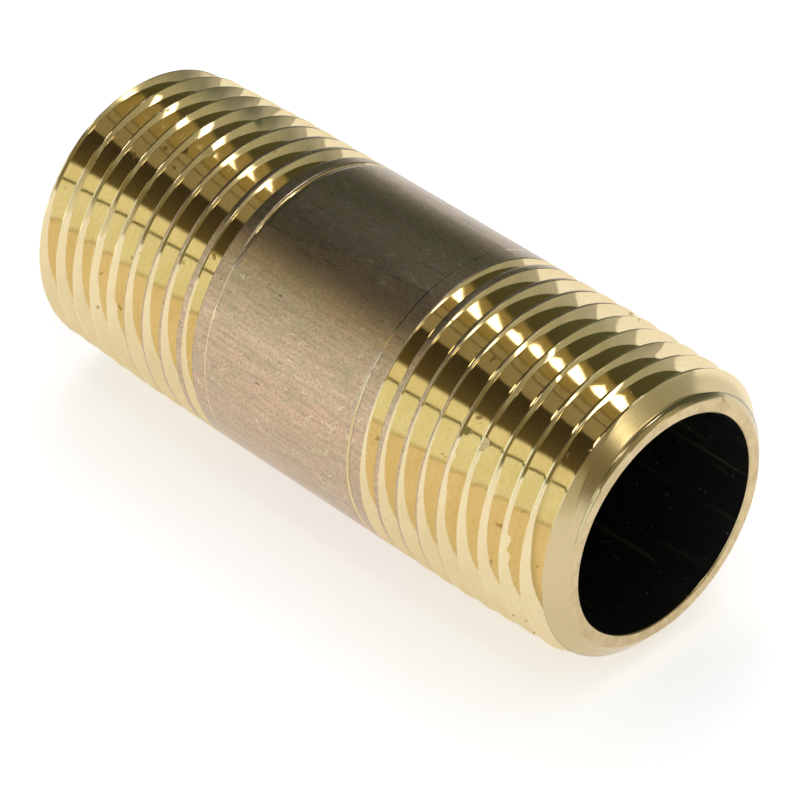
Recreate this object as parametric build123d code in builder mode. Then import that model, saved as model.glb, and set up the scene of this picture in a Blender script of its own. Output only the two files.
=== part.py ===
from build123d import *
import math
import os

# A straight pipe nipple: one length of seamless red brass tube with a right-hand taper
# pipe thread (1/2-14 NPT) cut on each end and the bare tube left between them.
# It lies along X, mid-length at the origin, +Z up. Millimetres.

# ---- driving dimensions ----
INCH = 25.4
length = 2 * INCH  # end face to end face
tube_diameter = 0.840 * INCH  # outside of the bare tube, 1/2 inch nominal pipe
bore_diameter = 0.626 * INCH  # 0.107 inch wall

threads_per_inch = 14
pitch = INCH / threads_per_inch
taper = 1 / 32  # growth of the radius per unit of length, 1 in 16 on the diameter
flank_angle = 30  # degrees, each side of a 60 degree V
pitch_diameter_at_face = 0.75843 * INCH
thread_height = 0.8 * pitch
root_flat = 0.033 * pitch  # width of the flat at the bottom of the V

# How far each groove runs in from its end face before it fades out, and the place round
# the tube where it fades, in degrees from +Y towards +Z. The last turn and a bit of each
# groove climbs steadily to nothing, as the throat of the die leaves it.
near_groove_length = 18.43
near_fade_angle = 133
far_groove_length = 18.62
far_fade_angle = 136
fade_turns = 1.3

# The turned end: a flat ring, a small broken edge, then the lead-in chamfer.
face_radius = 8.77
edge_radius = 9.0
edge_setback = 0.2
chamfer_length = 1.3
deburr = 0.12  # chamfer on the bore's two edges

# ---- worked out from those ----
half_length = length / 2
tube_radius = tube_diameter / 2
bore_radius = bore_diameter / 2
pitch_radius_at_face = pitch_diameter_at_face / 2
root_radius_at_face = pitch_radius_at_face - thread_height / 2
crest_radius_at_face = pitch_radius_at_face + thread_height / 2
chamfer_radius = crest_radius_at_face + taper * chamfer_length
taper_length = (tube_radius - crest_radius_at_face) / taper  # the crest cone meets the tube
flank_slope = math.tan(math.radians(flank_angle))

# The V that cuts the groove is a little taller than the thread, and straight-sided above.
mouth_height = thread_height + 0.02
mouth_half = root_flat / 2 + mouth_height * flank_slope
cutter_height = mouth_height + 1.0

# A groove is cut a few turns at a time. Every second cut laps its neighbours and stands a
# hair further out, and so does the fading one, so that no two cuts share a face.
TURNS_PER_CUT = 2
LAP_TURNS = 0.01
LAP_STEP = 0.004
FADE_STEP = 0.012


def groove_turns(height, radius, climb, turns):
    """The V wound round +Z for some turns, from a height and a root radius on the +X side.

    climb is how much the root's radius grows per unit of height.
    """
    cone_angle = math.degrees(math.atan(climb))
    with BuildPart() as cutter:
        with BuildLine() as path:
            Helix(
                pitch / math.cos(math.radians(cone_angle)),
                turns * pitch,
                radius,
                center=(0, 0, height),
                cone_angle=cone_angle,
            )
        with BuildSketch(Plane(origin=(radius, 0, height), x_dir=(1, 0, 0), z_dir=(0, -1, 0))):
            with BuildLine():
                Polyline(
                    (0, -root_flat / 2),
                    (mouth_height, -mouth_half),
                    (cutter_height, -mouth_half),
                    (cutter_height, mouth_half),
                    (mouth_height, mouth_half),
                    (0, root_flat / 2),
                    close=True,
                )
            make_face()
        sweep(path=path.line, is_frenet=True)
    return cutter.part


def root_radius(height):
    """The groove's root radius at a height above the end face, on the taper."""
    return root_radius_at_face + taper * height


def groove_cutters(groove_length):
    """All that the die removes from one end, whose end face is z = 0, as (cutter, turn).

    turn is how far round +Z the cutter starts. The first one starts outside the end face,
    and the last one climbs until the V is clear of the tube.
    """
    full_length = groove_length - fade_turns * pitch
    cuts = math.ceil(full_length / (TURNS_PER_CUT * pitch))
    full_turns = cuts * TURNS_PER_CUT
    outside_height = full_length - full_turns * pitch
    cutters = []
    for cut in range(cuts):
        laps = (cuts - 1 - cut) % 2
        turn = cut * TURNS_PER_CUT - laps * LAP_TURNS
        turns = TURNS_PER_CUT + 2 * laps * LAP_TURNS
        height = outside_height + turn * pitch
        radius = root_radius(height) + laps * LAP_STEP
        cutters.append((groove_turns(height, radius, taper, turns), turn))
    fade_climb = (tube_radius - root_radius(full_length)) / (fade_turns * pitch)
    lap = LAP_TURNS * pitch
    radius = root_radius(full_length) - fade_climb * lap + FADE_STEP
    fade = groove_turns(full_length - lap, radius, fade_climb, fade_turns + LAP_TURNS)
    cutters.append((fade, full_turns - LAP_TURNS))
    return cutters


def end_plane(x, inward, angle):
    """A plane on an end face, its normal into the tube and its x towards that angle."""
    across = (0, math.cos(math.radians(angle)), math.sin(math.radians(angle)))
    return Plane(origin=(x, 0, 0), x_dir=across, z_dir=(inward, 0, 0))


# Winding inwards, the groove turns from +Z towards +Y at the +X end and the other way at
# the -X end, so both are right-hand.
near_start = end_plane(half_length, -1, near_fade_angle + 360 * fade_turns)
far_start = end_plane(-half_length, 1, far_fade_angle - 360 * fade_turns)
near_cutters = groove_cutters(near_groove_length)
far_cutters = groove_cutters(far_groove_length)

with BuildPart() as nipple:
    # The blank: the tube's wall, with both tapered and chamfered ends, turned about X.
    with BuildSketch(Plane.XZ):
        with BuildLine():
            outside = Polyline(
                (0, tube_radius),
                (half_length - taper_length, tube_radius),
                (half_length - chamfer_length, chamfer_radius),
                (half_length - edge_setback, edge_radius),
                (half_length, face_radius),
                (half_length, bore_radius + deburr),
                (half_length - deburr, bore_radius),
                (0, bore_radius),
            )
            mirror(outside, about=Plane.YZ)
        make_face()
    revolve(axis=Axis.X)
    # The two threads.
    for start, cutters in ((near_start, near_cutters), (far_start, far_cutters)):
        with Locations(start):
            for cutter, turn in cutters:
                add(cutter, rotation=(0, 0, 360 * turn), mode=Mode.SUBTRACT)

nipple.part.label = "pipe_nipple"
os.makedirs("parts", exist_ok=True)
export_step(nipple.part, "parts/pipe_nipple.step")
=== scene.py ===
import math

import bmesh
import bpy
import numpy as np
from mathutils import Matrix, Vector


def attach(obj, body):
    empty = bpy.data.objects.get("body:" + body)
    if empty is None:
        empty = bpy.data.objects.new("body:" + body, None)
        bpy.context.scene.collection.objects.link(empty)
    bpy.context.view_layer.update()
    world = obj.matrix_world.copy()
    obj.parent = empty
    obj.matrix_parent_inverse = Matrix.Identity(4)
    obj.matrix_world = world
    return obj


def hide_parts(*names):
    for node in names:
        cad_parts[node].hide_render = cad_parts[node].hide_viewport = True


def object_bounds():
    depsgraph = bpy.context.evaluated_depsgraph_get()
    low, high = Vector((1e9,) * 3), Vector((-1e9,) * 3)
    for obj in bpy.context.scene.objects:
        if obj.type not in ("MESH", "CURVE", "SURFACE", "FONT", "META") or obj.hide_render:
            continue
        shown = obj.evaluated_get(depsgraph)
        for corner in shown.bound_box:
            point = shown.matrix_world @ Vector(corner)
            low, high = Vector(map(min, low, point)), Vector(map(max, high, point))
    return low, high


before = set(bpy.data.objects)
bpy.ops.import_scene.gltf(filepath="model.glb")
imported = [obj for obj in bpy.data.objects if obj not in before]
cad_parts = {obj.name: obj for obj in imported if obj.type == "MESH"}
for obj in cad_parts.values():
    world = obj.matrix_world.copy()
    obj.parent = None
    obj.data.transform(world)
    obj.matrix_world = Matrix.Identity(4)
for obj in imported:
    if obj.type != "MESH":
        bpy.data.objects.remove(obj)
cad_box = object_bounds()

# ---- the nipple's sizes, in millimetres, as the CAD part has them ----
MM = 0.001
INCH = 25.4
HALF_LENGTH = INCH
TUBE_R = 0.420 * INCH
BORE_R = 0.313 * INCH
PITCH = INCH / 14
TAPER = 1 / 32
FLANK_SLOPE = math.tan(math.radians(30))
THREAD_HEIGHT = 0.8 * PITCH
ROOT_FLAT = 0.033 * PITCH
PITCH_R = 0.75843 * INCH / 2
ROOT_R = PITCH_R - THREAD_HEIGHT / 2
CREST_R = PITCH_R + THREAD_HEIGHT / 2
TAPER_LENGTH = (TUBE_R - CREST_R) / TAPER
FACE_R = 8.77
EDGE_R = 9.0
EDGE_SETBACK = 0.2
CHAMFER_LENGTH = 1.3
DEBURR = 0.12
FADE_TURNS = 1.3
# Each end: which way it faces, how far its groove runs in, and where round the tube it fades.
NEAR = (1, 18.43, math.radians(133))
FAR = (-1, 18.62, math.radians(136))

# ---- mesh density ----
STEPS = 256  # vertices round the tube, at the same angles on every surface
# Where a thread profile has points, as fractions of each crest half and of each flank,
# measured from the outer end: close to the crest, loose at the root to round it a little.
CREST_CUTS = (0.0, 0.33, 0.67)
OUTER_FLANK_CUTS = (0.0, 0.03, 0.45, 0.88)
INNER_FLANK_CUTS = (0.0, 0.12, 0.55, 0.97)
CREST_END = len(CREST_CUTS)  # the column where the outer flank starts
INNER_EDGE = -len(CREST_CUTS)  # the column where the inner flank ends
FLANK_SAG = 0.04  # how hollow the die leaves a full flank, down at its middle
OVERRUN = 0.4 * PITCH  # how far a thread's surface runs in past its groove
LAST_WIDTH = 0.05  # what the lay takes as the width of a profile's last face
BARREL_BANDS = 18
BORE_BANDS = 10
EDGE_BAND = 0.03  # the narrow bands that keep an edge tight
HALVINGS = 30  # how finely the groove's width is searched for
MERGE = 2e-7  # metres, under which two vertices are one

CUT, SKIN, FACE, BORE = range(4)  # material slots

# ---- wear on the crests ----
WEAR = 0.02  # depth of the waves along a crest
WAVE_STEPS = 6  # steps round the tube from one wave to the next
NICKS = 70  # small dents on each thread's crests
NICK_DEPTH = 0.09


def blank_radius(s):
    """The turned blank's radius at a distance from its end face, before the thread is cut."""
    return np.interp(
        s,
        (0, EDGE_SETBACK, CHAMFER_LENGTH, TAPER_LENGTH),
        (FACE_R, EDGE_R, CREST_R + TAPER * CHAMFER_LENGTH, TUBE_R),
    )


def root_radius(turn, groove_length):
    """The groove's root radius, so many turns from where it fades towards its end face."""
    on_taper = ROOT_R + TAPER * (groove_length - PITCH * turn)
    full = ROOT_R + TAPER * (groove_length - PITCH * FADE_TURNS)
    fading = TUBE_R + (full - TUBE_R) * turn / FADE_TURNS
    return np.where(turn < 0, TUBE_R, np.where(turn < FADE_TURNS, fading, on_taper))


def half_width(side, centre, root):
    """How far from its centre line the groove meets the blank on one side, -1 outwards."""
    low = np.full_like(root, ROOT_FLAT / 2)
    high = np.full_like(root, PITCH / 2)
    for _ in range(HALVINGS):
        mid = (low + high) / 2
        wall = root + (mid - ROOT_FLAT / 2) / FLANK_SLOPE
        inside = wall < blank_radius(centre + side * mid)
        low = np.where(inside, mid, low)
        high = np.where(inside, high, mid)
    return low


def snap_to_edges(s, first, last):
    """Puts the two points inside a span of crest on the turned edges that cross the span."""
    low, high = s[:, first], s[:, last]
    near = np.where((EDGE_SETBACK > low) & (EDGE_SETBACK < high), EDGE_SETBACK, s[:, first + 1])
    far = np.where((CHAMFER_LENGTH > low) & (CHAMFER_LENGTH < high), CHAMFER_LENGTH, s[:, first + 2])
    s[:, first + 1] = np.minimum(near, far)
    s[:, first + 2] = np.maximum(near, far)


def crest_wear(steps, seed):
    """How far a crest is worn down at each step along it: slight waves and a few nicks."""
    rng = np.random.default_rng(seed)
    knots = np.arange(0, steps + WAVE_STEPS, WAVE_STEPS)
    wear = np.interp(np.arange(steps), knots, rng.uniform(0, WEAR, len(knots)))
    nicks = rng.integers(0, steps, NICKS)
    wear[nicks] += rng.uniform(0.2, 1, NICKS) ** 2 * NICK_DEPTH
    return wear


def worn_share(centre):
    """1 where the crest just inside a groove is a full one, easing to 0 at both its ends."""
    return np.clip(centre - CHAMFER_LENGTH, 0, 1) * np.clip(TAPER_LENGTH - centre, 0, 1)


def thread_profile(centre, root):
    """The profile's points at each step, as offsets along X from the groove's middle.

    Also the material slot of the face that starts at each point, as far as its kind tells.
    """
    outer = half_width(-1, centre, root)
    inner = half_width(1, centre, root)
    middle = np.full_like(centre, PITCH / 2)
    flat = np.full_like(centre, ROOT_FLAT / 2)
    spans = (
        (-middle, -outer, CREST_CUTS, SKIN),
        (-outer, -flat, OUTER_FLANK_CUTS, CUT),
        (-flat, flat, (0,), CUT),
        (flat, inner, INNER_FLANK_CUTS, CUT),
        (inner, middle, CREST_CUTS, SKIN),
    )
    offset = np.stack([a + (b - a) * cut for a, b, cuts, _ in spans for cut in cuts], axis=1)
    kinds = np.array([slot for _, _, cuts, slot in spans for _ in cuts])
    return offset, kinds


def distance_in(centre, offset, groove_length):
    """Each point's distance from its end face, no further in than the thread's surface."""
    inner_end = groove_length + OVERRUN
    s = np.clip(centre[:, None] + offset, 0, inner_end)
    snap_to_edges(s, 0, CREST_END)
    next_profile = np.clip(centre + PITCH / 2, 0, inner_end)
    s = np.concatenate([s, next_profile[:, None]], axis=1)
    snap_to_edges(s, INNER_EDGE - 1, -1)
    return s[:, :-1]


def thread_radius(s, offset, centre, root, seed):
    """Each point's radius: the groove's walls, slightly hollow, under the worn blank."""
    wall = root[:, None] + np.maximum(0, np.abs(offset) - ROOT_FLAT / 2) / FLANK_SLOPE
    hollow = FLANK_SAG * np.clip((wall[:, CREST_END] - root) / THREAD_HEIGHT, 0, 1)
    wall[:, CREST_END + 2] -= hollow
    wall[:, INNER_EDGE - 2] -= hollow
    radius = np.minimum(wall, blank_radius(s))
    # A crest is shared by the outer side of one turn and the inner side of the next one out.
    rows = len(centre)
    wear = crest_wear(rows + STEPS, seed)
    radius[:, : CREST_END + 1] -= (worn_share(centre - PITCH) * wear[STEPS:])[:, None]
    radius[:, INNER_EDGE:] -= (worn_share(centre) * wear[:rows])[:, None]
    return radius


def way_round(step):
    """Millimetres round the tube at a step, for a surface's lay."""
    return 2 * math.pi * TUBE_R * step / STEPS


def corner_lay(near_across, far_across, start, end):
    """The lay of each face's corners, in their order."""
    across = np.stack([near_across, near_across, far_across, far_across], axis=1)
    along = np.stack([start, end, end, start], axis=1)
    return np.stack([across, along], axis=2)


def thread_surface(end):
    """One end's thread as a strip wound along its groove: points, faces, slots and lay.

    Each row is the profile of one turn, from crest middle to crest middle, and a profile's
    last point is the first one of the profile a turn further in. lay is each face corner's
    place on the strip: millimetres across the profile and along the groove.
    """
    facing, groove_length, fade_angle = end
    phase = facing * fade_angle / (2 * math.pi)
    # The strip runs from two turns inside the fade to one turn outside the end face.
    first = math.floor((phase - 2) * STEPS)
    last = math.ceil((phase + groove_length / PITCH + 1) * STEPS)
    index = np.arange(first, last)
    turn = index / STEPS - phase
    angle = facing * 2 * math.pi * index / STEPS
    centre = groove_length - PITCH * turn
    root = root_radius(turn, groove_length)
    offset, kinds = thread_profile(centre, root)
    s = distance_in(centre, offset, groove_length)
    radius = thread_radius(s, offset, centre, root, facing + 2)
    x = facing * (HALF_LENGTH - s)
    y = radius * np.cos(angle)[:, None]
    z = radius * np.sin(angle)[:, None]
    # A face's corners: its own row and the next, its own column and the next.
    rows, columns = s.shape
    row, column = np.meshgrid(np.arange(STEPS, rows - 1), np.arange(columns), indexing="ij")
    row, column = row.ravel(), column.ravel()
    wraps = column == columns - 1
    next_row = np.where(wraps, row - STEPS, row)
    next_column = np.where(wraps, 0, column + 1)
    near_side = row * columns + column
    far_side = next_row * columns + next_column
    faces = np.stack([near_side, near_side + columns, far_side + columns, far_side], axis=1)
    # Only the crests further in than the taper keep the tube's own skin.
    depth_in = (s.ravel()[near_side] + s.ravel()[far_side]) / 2
    slots = np.where((kinds[column] == SKIN) & (depth_in > TAPER_LENGTH), SKIN, CUT)
    across = np.cumsum(np.hypot(np.diff(offset), np.diff(radius)), axis=1)
    across = np.concatenate([np.zeros((rows, 1)), across], axis=1)
    far_across = np.where(wraps, across[row, -1] + LAST_WIDTH, across[row, next_column])
    along = way_round(index)
    lay = corner_lay(across[row, column], far_across, along[row], along[row + 1])
    return np.stack([x, y, z], axis=2).reshape(-1, 3), faces, slots, lay


def turned_surface(profile, slots):
    """A surface turned about X through (x, radius) pairs, with a slot for each band."""
    profile = np.array(profile)
    angle = np.arange(STEPS) * 2 * math.pi / STEPS
    x = np.repeat(profile[:, :1], STEPS, axis=1)
    y = profile[:, 1:] * np.cos(angle)
    z = profile[:, 1:] * np.sin(angle)
    band, i = np.meshgrid(np.arange(len(profile) - 1), np.arange(STEPS), indexing="ij")
    band, i = band.ravel(), i.ravel()
    a, b = band * STEPS, (band + 1) * STEPS
    j = (i + 1) % STEPS
    faces = np.stack([a + i, a + j, b + j, b + i], axis=1)
    distance = np.concatenate([[0], np.cumsum(np.hypot(*np.diff(profile, axis=0).T))])
    lay = corner_lay(distance[band], distance[band + 1], way_round(i), way_round(i + 1))
    return np.stack([x, y, z], axis=2).reshape(-1, 3), faces, np.array(slots)[band], lay


def barrel_surface():
    """The bare tube between the two threads' surfaces."""
    near_x = HALF_LENGTH - NEAR[1] - OVERRUN
    far_x = FAR[1] + OVERRUN - HALF_LENGTH
    profile = [(x, TUBE_R) for x in np.linspace(near_x, far_x, BARREL_BANDS + 1)]
    return turned_surface(profile, [SKIN] * BARREL_BANDS)


def end_and_bore_surface():
    """Both end faces, the broken edges of the bore, and the bore between them."""
    rim = (
        (0, FACE_R),
        (0, FACE_R - EDGE_BAND),
        (0, BORE_R + DEBURR + EDGE_BAND),
        (0, BORE_R + DEBURR),
        (DEBURR, BORE_R),
        (DEBURR + EDGE_BAND, BORE_R),
    )
    near_rim = [(HALF_LENGTH - s, r) for s, r in rim]
    far_rim = [(s - HALF_LENGTH, r) for s, r in reversed(rim)]
    inside = near_rim[-1][0]
    bore = [(x, BORE_R) for x in np.linspace(inside, -inside, BORE_BANDS + 1)[1:-1]]
    kinds = [FACE] * 4 + [BORE] * (BORE_BANDS + 2) + [FACE] * 4
    return turned_surface(near_rim + bore + far_rim, kinds)


def joined_mesh(surfaces):
    """One closed mesh of all the surfaces, in metres, with its lay as a UV map."""
    offsets = np.cumsum([0] + [len(points) for points, _, _, _ in surfaces])
    points = np.concatenate([part[0] for part in surfaces]) * MM
    faces = np.concatenate([part[1] + offset for part, offset in zip(surfaces, offsets)])
    slots = np.concatenate([part[2] for part in surfaces])
    lay = np.concatenate([part[3] for part in surfaces])
    mesh = bpy.data.meshes.new("nipple_body")
    mesh.from_pydata(points.tolist(), [], faces.tolist())
    mesh.polygons.foreach_set("material_index", slots.astype(np.int32))
    mesh.uv_layers.new(name="lay").data.foreach_set("uv", lay.astype(np.float32).ravel())
    body = bmesh.new()
    body.from_mesh(mesh)
    bmesh.ops.remove_doubles(body, verts=body.verts, dist=MERGE)
    bmesh.ops.dissolve_degenerate(body, edges=body.edges, dist=MERGE)
    stray = [vertex for vertex in body.verts if not vertex.link_faces]
    bmesh.ops.delete(body, geom=stray, context="VERTS")
    bmesh.ops.recalc_face_normals(body, faces=body.faces)
    body.to_mesh(mesh)
    body.free()
    mesh.shade_smooth()
    return mesh


def add_node(tree, kind, inputs=None, **settings):
    """A new node with its settings made and its inputs set, or linked where given a socket."""
    node = tree.nodes.new(kind)
    for name, value in settings.items():
        setattr(node, name, value)
    for key, value in (inputs or {}).items():
        if isinstance(value, bpy.types.NodeSocket):
            tree.links.new(value, node.inputs[key])
        else:
            node.inputs[key].default_value = value
    return node


def calc(tree, operation, *values):
    """The result of a Math node."""
    return add_node(tree, "ShaderNodeMath", dict(enumerate(values)), operation=operation).outputs[0]


def remap(tree, value, low, high, to_low=0.0, to_high=1.0):
    """value eased from one range onto another, and held beyond its ends."""
    inputs = {0: value, 1: low, 2: high, 3: to_low, 4: to_high}
    return add_node(
        tree, "ShaderNodeMapRange", inputs, interpolation_type="SMOOTHSTEP"
    ).outputs[0]


def blend_colors(tree, factor, first, second, mode="MIX"):
    """The second colour laid over the first."""
    pair = [c if isinstance(c, bpy.types.NodeSocket) else (*c, 1) for c in (first, second)]
    inputs = {0: factor, 6: pair[0], 7: pair[1]}
    return add_node(tree, "ShaderNodeMix", inputs, data_type="RGBA", blend_type=mode).outputs[2]


def ramp(tree, value, stops):
    """A colour ramp through (position, colour) stops."""
    node = add_node(tree, "ShaderNodeValToRGB", {0: value})
    elements = node.color_ramp.elements
    elements[0].position, elements[1].position = stops[0][0], stops[-1][0]
    elements[0].color, elements[1].color = (*stops[0][1], 1), (*stops[-1][1], 1)
    for position, color in stops[1:-1]:
        elements.new(position).color = (*color, 1)
    return node.outputs[0]


def noise(tree, vector, scale, detail=2.0, roughness=0.5):
    """Noise at a point, with scale in features per unit along each axis."""
    scaled = add_node(tree, "ShaderNodeVectorMath", {0: vector, 1: scale}, operation="MULTIPLY")
    inputs = {"Vector": scaled.outputs[0], "Scale": 1.0, "Detail": detail, "Roughness": roughness}
    return add_node(tree, "ShaderNodeTexNoise", inputs).outputs[0]


def millimetres(tree):
    """The surface point in the row frame, in millimetres."""
    inputs = {0: add_node(tree, "ShaderNodeTexCoord").outputs["Object"], 1: (1 / MM, 1 / MM, 1 / MM)}
    return add_node(tree, "ShaderNodeVectorMath", inputs, operation="MULTIPLY").outputs[0]


def thread_place(tree):
    """The place on the lay: millimetres across the profile and along the groove."""
    return add_node(tree, "ShaderNodeUVMap", uv_map="lay").outputs[0]


def bump(tree, layers):
    """The normal after laying (height 0 to 1, micrometres) layers on the surface."""
    normal = None
    for height, depth in layers:
        inputs = {"Height": height, "Distance": depth * 1e-6, "Strength": 1.0}
        if normal is not None:
            inputs["Normal"] = normal
        normal = add_node(tree, "ShaderNodeBump", inputs).outputs[0]
    return normal


def new_material(name):
    """A new material, its node tree and its shader."""
    material = bpy.data.materials.new(name)
    material.use_nodes = True
    return material, material.node_tree, material.node_tree.nodes["Principled BSDF"]


def set_shader(tree, shader, color, roughness, normal):
    """Links a shader's colour, roughness and normal."""
    tree.links.new(color, shader.inputs["Base Color"])
    tree.links.new(roughness, shader.inputs["Roughness"])
    tree.links.new(normal, shader.inputs["Normal"])


def cut_brass():
    """Fresh brass: bright where the die has cut, and duller on the turned lead-in chamfer."""
    material, tree, shader = new_material("cut_brass")
    shader.inputs["Metallic"].default_value = 1.0
    place, along = millimetres(tree), thread_place(tree)
    patches = noise(tree, place, (0.35, 0.35, 0.35), 3.0)
    color = blend_colors(
        tree, remap(tree, patches, 0.35, 0.7), (0.82, 0.68, 0.41), (0.79, 0.645, 0.375)
    )
    marks = noise(tree, along, (11.0, 0.16, 1.0), 3.0, 0.6)
    color = blend_colors(tree, remap(tree, marks, 0.5, 0.75, 0, 0.5), color, (0.70, 0.54, 0.27))
    mottle = noise(tree, place, (4.0, 4.0, 4.0), 3.0, 0.6)
    color = blend_colors(tree, remap(tree, mottle, 0.45, 0.75, 0, 0.35), color, (0.66, 0.52, 0.28))
    stains = noise(tree, place, (0.9, 0.9, 0.9), 2.0)
    stained = calc(tree, "MULTIPLY", remap(tree, stains, 0.715, 0.75), 0.8)
    color = blend_colors(tree, stained, color, (0.45, 0.30, 0.12))
    roughness = remap(tree, marks, 0.3, 0.75, 0.04, 0.09)
    roughness = calc(tree, "ADD", roughness, calc(tree, "MULTIPLY", stained, 0.3))
    x = add_node(tree, "ShaderNodeSeparateXYZ", {0: place}).outputs[0]
    chamfer_from = HALF_LENGTH - CHAMFER_LENGTH
    turned = remap(tree, calc(tree, "ABSOLUTE", x), chamfer_from - 0.2, chamfer_from + 0.15)
    color = blend_colors(tree, calc(tree, "MULTIPLY", turned, 0.85), color, (0.58, 0.46, 0.25))
    roughness = calc(tree, "ADD", roughness, calc(tree, "MULTIPLY", turned, 0.11))
    chatter = noise(tree, along, (0.6, 2.2, 1.0), 2.0)
    normal = bump(tree, ((marks, 0.14), (chatter, 0.45), (mottle, 0.12)))
    set_shader(tree, shader, color, roughness, normal)
    return material


def scratches(tree, turn):
    """Short fine scratches in patches, turned by an angle from the tube's axis."""
    inputs = {"Vector": thread_place(tree), "Rotation": (0, 0, turn)}
    place = add_node(tree, "ShaderNodeMapping", inputs).outputs[0]
    level = calc(tree, "ABSOLUTE", calc(tree, "SUBTRACT", noise(tree, place, (0.4, 2.6, 1)), 0.5))
    here = remap(tree, noise(tree, place, (0.8, 1.2, 1), 3.0), 0.58, 0.66)
    return calc(tree, "MULTIPLY", remap(tree, level, 0.0, 0.03, 1, 0), here)


def tube_skin():
    """The tube's own outside: drawn lengthwise, tarnished copper brown, lightly scuffed."""
    material, tree, shader = new_material("tube_skin")
    shader.inputs["Metallic"].default_value = 1.0
    shader.inputs["Anisotropic"].default_value = 0.75
    shader.inputs["Coat Weight"].default_value = 0.25
    shader.inputs["Coat Roughness"].default_value = 0.06
    around = add_node(tree, "ShaderNodeTangent", direction_type="RADIAL", axis="X")
    tree.links.new(around.outputs[0], shader.inputs["Tangent"])
    place = millimetres(tree)
    patches = noise(tree, place, (0.12, 0.3, 0.3), 3.0)
    color = blend_colors(
        tree, remap(tree, patches, 0.3, 0.7), (0.57, 0.42, 0.265), (0.65, 0.445, 0.29)
    )
    tints = noise(tree, place, (1.0, 1.6, 1.6), 3.0, 0.6)
    color = blend_colors(tree, remap(tree, tints, 0.50, 0.70, 0, 0.6), color, (0.46, 0.41, 0.26))
    color = blend_colors(tree, remap(tree, tints, 0.50, 0.34, 0, 0.5), color, (0.66, 0.42, 0.32))
    grain = noise(tree, place, (0.25, 4.5, 4.5), 4.0, 0.65)
    color = blend_colors(tree, remap(tree, grain, 0.4, 0.7, 0, 0.6), color, (0.38, 0.29, 0.18))
    speckle = noise(tree, place, (5.0, 6.0, 6.0), 2.0, 0.7)
    color = blend_colors(tree, remap(tree, speckle, 0.42, 0.66, 0, 0.6), color, (0.33, 0.25, 0.15))
    scratch = calc(tree, "MAXIMUM", scratches(tree, 0.35), scratches(tree, -0.9))
    color = blend_colors(tree, calc(tree, "MULTIPLY", scratch, 0.65), color, (0.86, 0.72, 0.50))
    pits = remap(tree, noise(tree, place, (1.0, 3.4, 3.4), 1.0), 0.735, 0.77)
    color = blend_colors(tree, calc(tree, "MULTIPLY", pits, 0.75), color, (0.12, 0.11, 0.08))
    roughness = remap(tree, grain, 0.3, 0.75, 0.27, 0.34)
    level = calc(tree, "SUBTRACT", 1.0, pits)
    normal = bump(tree, ((grain, 2.5), (speckle, 0.8), (scratch, 1.5), (level, 5.0)))
    set_shader(tree, shader, color, roughness, normal)
    return material


def end_face():
    """The faced end: pale brass, with fine rings left by the facing tool."""
    material, tree, shader = new_material("end_face")
    shader.inputs["Metallic"].default_value = 1.0
    place, along = millimetres(tree), thread_place(tree)
    rings = noise(tree, along, (14.0, 0.1, 1.0), 2.0, 0.6)
    mottle = noise(tree, place, (0.9, 0.9, 0.9), 4.0, 0.6)
    color = blend_colors(
        tree, remap(tree, mottle, 0.35, 0.7), (0.66, 0.51, 0.29), (0.54, 0.41, 0.22)
    )
    roughness = remap(tree, mottle, 0.3, 0.7, 0.20, 0.34)
    set_shader(tree, shader, color, roughness, bump(tree, ((rings, 1.2), (mottle, 3.0))))
    return material


def dark_bore():
    """The bore: near black and dull all through, with faint lengthwise streaks and specks."""
    material, tree, shader = new_material("dark_bore")
    shader.inputs["Metallic"].default_value = 0.0
    shader.inputs["Specular IOR Level"].default_value = 0.25
    place = millimetres(tree)
    streaks = noise(tree, place, (0.08, 1.4, 1.4), 3.0, 0.6)
    # The bore's colour is near black everywhere, and with the low specular level it mirrors little.
    color = blend_colors(
        tree, remap(tree, streaks, 0.58, 0.74), (0.006, 0.006, 0.005), (0.045, 0.040, 0.020)
    )
    specks = remap(tree, noise(tree, place, (3.0, 3.0, 3.0), 1.0), 0.74, 0.77)
    color = blend_colors(tree, specks, color, (0.16, 0.15, 0.11))
    roughness = remap(tree, streaks, 0.3, 0.7, 0.38, 0.55)
    set_shader(tree, shader, color, roughness, bump(tree, ((streaks, 3.0), (specks, 4.0))))
    return material


def make_nipple():
    """The whole nipple, one mesh, in place of the CAD's one node."""
    surfaces = [
        thread_surface(NEAR),
        thread_surface(FAR),
        barrel_surface(),
        end_and_bore_surface(),
    ]
    nipple = bpy.data.objects.new("brass_nipple", joined_mesh(surfaces))
    bpy.context.scene.collection.objects.link(nipple)
    for material in (cut_brass(), tube_skin(), end_face(), dark_bore()):
        nipple.data.materials.append(material)
    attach(nipple, "root")
    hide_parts("pipe_nipple")


# ---- the studio ----
FLOOR_HALF = 0.4  # metres
FLOOR_LEVEL = cad_box[0][2]
FLOOR_GLOW = 0.50  # the paper's own glow, which keeps the shadow on it faint
AMBIENT = 0.43  # what lights the paper from all round


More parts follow.
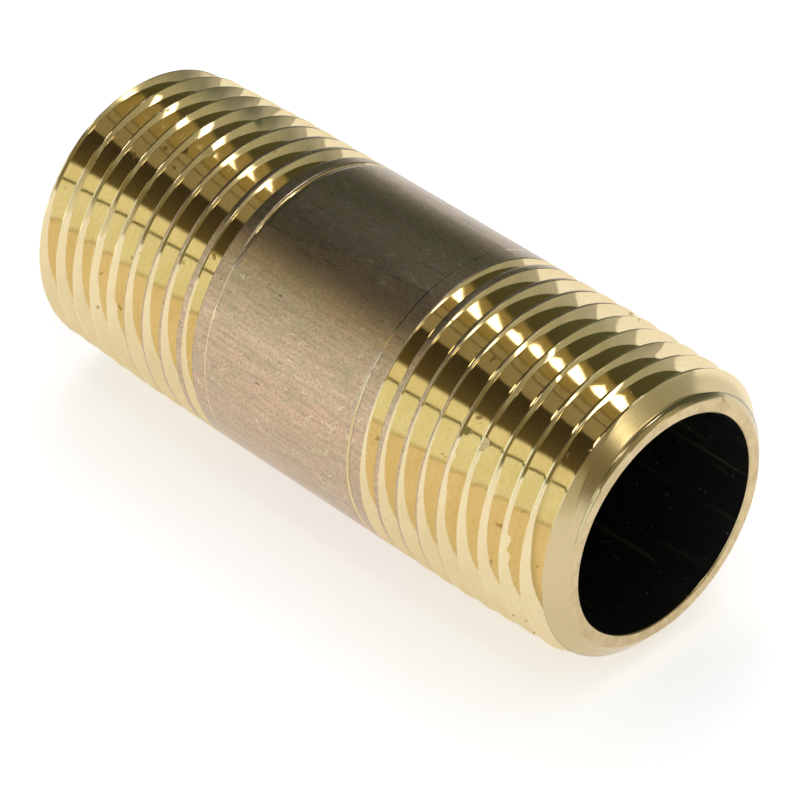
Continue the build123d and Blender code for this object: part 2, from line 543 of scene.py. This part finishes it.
def make_floor():
    """A plain sheet of white paper that the nipple lies on."""
    corners = [(-FLOOR_HALF, -FLOOR_HALF), (FLOOR_HALF, -FLOOR_HALF)]
    corners += [(FLOOR_HALF, FLOOR_HALF), (-FLOOR_HALF, FLOOR_HALF)]
    mesh = bpy.data.meshes.new("floor")
    mesh.from_pydata([(x, y, FLOOR_LEVEL) for x, y in corners], [], [(0, 1, 2, 3)])
    floor = bpy.data.objects.new("floor", mesh)
    bpy.context.scene.collection.objects.link(floor)
    material, tree, shader = new_material("white_paper")
    fibres = noise(tree, millimetres(tree), (0.8, 0.8, 0.8), 4.0)
    color = blend_colors(tree, fibres, (0.90, 0.90, 0.895), (0.92, 0.92, 0.915))
    roughness = remap(tree, fibres, 0.3, 0.7, 0.85, 0.95)
    set_shader(tree, shader, color, roughness, bump(tree, ((fibres, 3.0),)))
    shader.inputs["Emission Color"].default_value = (1, 1, 1, 1)
    shader.inputs["Emission Strength"].default_value = FLOOR_GLOW
    mesh.materials.append(material)


# What the metal mirrors, by the angle up over the tube from the horizon behind it (+Y, 0
# degrees) to the one in front (-Y, 180). ROOM is above the tube, ENDS is beyond its +X end.
ROOM = (
    (0, (0.50, 0.50, 0.46)),
    (5, (0.24, 0.25, 0.22)),
    (12, (0.13, 0.15, 0.12)),
    (30, (0.115, 0.135, 0.10)),
    (54, (0.10, 0.11, 0.08)),
    (62, (0.12, 0.115, 0.08)),
    (80, (0.12, 0.11, 0.08)),
    (107, (0.055, 0.050, 0.040)),
    (122, (0.085, 0.080, 0.055)),
    (134.5, (0.15, 0.14, 0.08)),
    (137, (1.12, 1.26, 1.30)),
    (147.8, (1.12, 1.26, 1.30)),
    (148.2, (0.16, 0.17, 0.07)),
    (149.8, (0.16, 0.17, 0.07)),
    (150.2, (1.13, 1.32, 1.45)),
    (178, (1.13, 1.32, 1.45)),
    (180, (0.85, 0.88, 0.84)),
)
ENDS = (
    (0, (0.60, 0.60, 0.50)),
    (12, (0.42, 0.42, 0.32)),
    (20, (0.46, 0.45, 0.32)),
    (38, (0.46, 0.44, 0.30)),
    (52, (0.40, 0.38, 0.25)),
    (75, (0.34, 0.32, 0.22)),
    (90, (0.40, 0.38, 0.28)),
    (108, (0.22, 0.19, 0.12)),
    (126, (0.28, 0.24, 0.13)),
    (136, (0.62, 0.58, 0.42)),
    (148, (0.62, 0.60, 0.46)),
    (180, (0.88, 0.86, 0.74)),
)
ENDS_FROM, ENDS_TO = 0.50, 0.72  # along X, as cosines
BARREL_VIEW = (-0.95, -0.51)  # along X, what the barrel mirrors for the camera
COPPER_VIEW = (-0.75, -0.51)  # the part of that with a copper glow
FLANK_VIEW = (-0.48, -0.10)  # and what the flanks do
# Shades take the room's place and panels add to it. Each has its place along X, as cosines,
# its place over the tube and how soft it is there, in degrees, and its colour.
SHADES = (
    (BARREL_VIEW, (16, 72), 7.0, (0.034, 0.054, 0.030)),
    (BARREL_VIEW, (72, 118), 7.0, (0.004, 0.006, 0.003)),
    (BARREL_VIEW, (137, 172), 4.0, (0.86, 0.90, 0.82)),
    ((0.972, 1.1), (-5, 185), 1.0, (0.22, 0.19, 0.09)),
)
PANELS = (
    (FLANK_VIEW, (85, 91), 0.6, (0.30, 0.31, 0.28)),
    (FLANK_VIEW, (92, 105.5), 0.6, (0.30, 0.31, 0.28)),
    ((-0.46, -0.10), (58, 84), 2.5, (0.28, 0.26, 0.15)),
    (COPPER_VIEW, (172, 186), 4.0, (0.60, 0.46, 0.36)),
    (COPPER_VIEW, (119, 135), 5.0, (0.46, 0.38, 0.17)),
    ((-0.05, 0.60), (101.5, 108.5), 0.8, (5.0, 4.9, 4.6)),
    ((0.76, 0.95), (29.5, 36.5), 1.0, (4.5, 4.3, 3.6)),
)
PATCH_EDGE = 0.015  # how soft they are along X
# The lamp overhead is widest towards -X and slants to a point.
LAMP_LEFT, LAMP_WIDE, LAMP_POINT = -0.47, -0.37, -0.21  # along X, as cosines
LAMP_MIDDLES = (67.5, 75.5)  # degrees, at its wide part and at its point
LAMP_HALF = 6.5  # degrees, half its width at the wide part
LAMP_TIP = -2.0  # and at the point, under 0 so that the point is sharp
LAMP_EDGE = 0.6  # degrees, how soft its sides are
LAMP_END = 0.01  # how soft its left end is, along X
LAMP_COLOR = (6.0, 6.5, 8.0)
BACKDROP = (1.0, 1.0, 1.0)


def between(tree, value, low, high, soft):
    """1 where a value is between two others, easing to 0 outside them."""
    above = remap(tree, value, low - soft, low + soft)
    below = remap(tree, value, high - soft, high + soft, 1, 0)
    return calc(tree, "MULTIPLY", above, below)


def overhead_lamp(tree, x, degrees):
    """1 inside the pointed lamp and 0 outside it."""
    middle = remap(tree, x, LAMP_WIDE, LAMP_POINT, *LAMP_MIDDLES)
    off_middle = calc(tree, "ABSOLUTE", calc(tree, "SUBTRACT", degrees, middle))
    half = remap(tree, x, LAMP_WIDE, LAMP_POINT, LAMP_HALF, LAMP_TIP)
    past_edge = calc(tree, "SUBTRACT", off_middle, half)
    over = remap(tree, past_edge, -LAMP_EDGE, LAMP_EDGE, 1, 0)
    return calc(tree, "MULTIPLY", over, remap(tree, x, LAMP_LEFT - LAMP_END, LAMP_LEFT + LAMP_END))


def make_world():
    """A room with a wide window in front and lamps above, seen only in reflections.

    What lights the paper is AMBIENT instead, and the camera sees BACKDROP past the paper.
    """
    world = bpy.data.worlds.new("studio")
    bpy.context.scene.world = world
    world.use_nodes = True
    tree = world.node_tree
    direction = add_node(tree, "ShaderNodeTexCoord").outputs["Generated"]
    x, y, z = add_node(tree, "ShaderNodeSeparateXYZ", {0: direction}).outputs
    raised = calc(tree, "MAXIMUM", z, 0.0)
    turned = calc(tree, "DIVIDE", calc(tree, "ARCTAN2", raised, y), math.pi)
    degrees = calc(tree, "MULTIPLY", turned, 180.0)
    room = ramp(tree, turned, [(angle / 180, color) for angle, color in ROOM])
    ends = ramp(tree, turned, [(angle / 180, color) for angle, color in ENDS])
    seen = blend_colors(tree, remap(tree, x, ENDS_FROM, ENDS_TO), room, ends)
    for patches, mode in ((SHADES, "MIX"), (PANELS, "ADD")):
        for (left, right), (low, high), soft, color in patches:
            along = between(tree, x, left, right, PATCH_EDGE)
            over = between(tree, degrees, low, high, soft)
            seen = blend_colors(tree, calc(tree, "MULTIPLY", along, over), seen, color, mode)
    seen = blend_colors(tree, overhead_lamp(tree, x, degrees), seen, LAMP_COLOR, "ADD")
    ray = add_node(tree, "ShaderNodeLightPath").outputs
    seen = blend_colors(tree, ray["Is Diffuse Ray"], seen, (AMBIENT, AMBIENT, AMBIENT))
    seen = blend_colors(tree, ray["Is Camera Ray"], seen, BACKDROP)
    tree.links.new(seen, tree.nodes["Background"].inputs["Color"])


SOFTBOX_PLACE = (-0.15, 0.30, 0.85)  # metres
SOFTBOX_SIZE = 1.0
SOFTBOX_WATTS = 1.6


def make_softbox():
    """A wide soft lamp overhead and a little behind, which the metal doesn't mirror."""
    light = bpy.data.lights.new("softbox", "AREA")
    light.size = SOFTBOX_SIZE
    light.energy = SOFTBOX_WATTS
    softbox = bpy.data.objects.new("softbox", light)
    bpy.context.scene.collection.objects.link(softbox)
    softbox.location = SOFTBOX_PLACE
    softbox.rotation_euler = (-softbox.location).to_track_quat("-Z", "Y").to_euler()
    softbox.visible_glossy = False


# The camera looks at AIM from an azimuth, turned from -Y towards +X, and an elevation. Metres.
AIM = Vector((0.0019, -0.0008, -0.0025))
AZIMUTH = math.radians(45.845)
ELEVATION = math.radians(37.690)
DISTANCE = 0.2865
LENS = 192.3  # millimetres, on a sensor 36 wide


def make_camera():
    """The photo's point of view."""
    back = Vector(
        (
            math.sin(AZIMUTH) * math.cos(ELEVATION),
            -math.cos(AZIMUTH) * math.cos(ELEVATION),
            math.sin(ELEVATION),
        )
    )
    right = Vector((math.cos(AZIMUTH), math.sin(AZIMUTH), 0))
    data = bpy.data.cameras.new("camera")
    data.lens = LENS
    data.sensor_width = 36
    data.clip_start = 0.01
    camera = bpy.data.objects.new("camera", data)
    bpy.context.scene.collection.objects.link(camera)
    turn = Matrix((right, back.cross(right), back)).transposed()
    camera.matrix_world = Matrix.Translation(AIM + back * DISTANCE) @ turn.to_4x4()
    bpy.context.scene.camera = camera


make_nipple()
make_floor()
make_world()
make_softbox()
make_camera()
bpy.context.scene.view_settings.view_transform = "Standard"
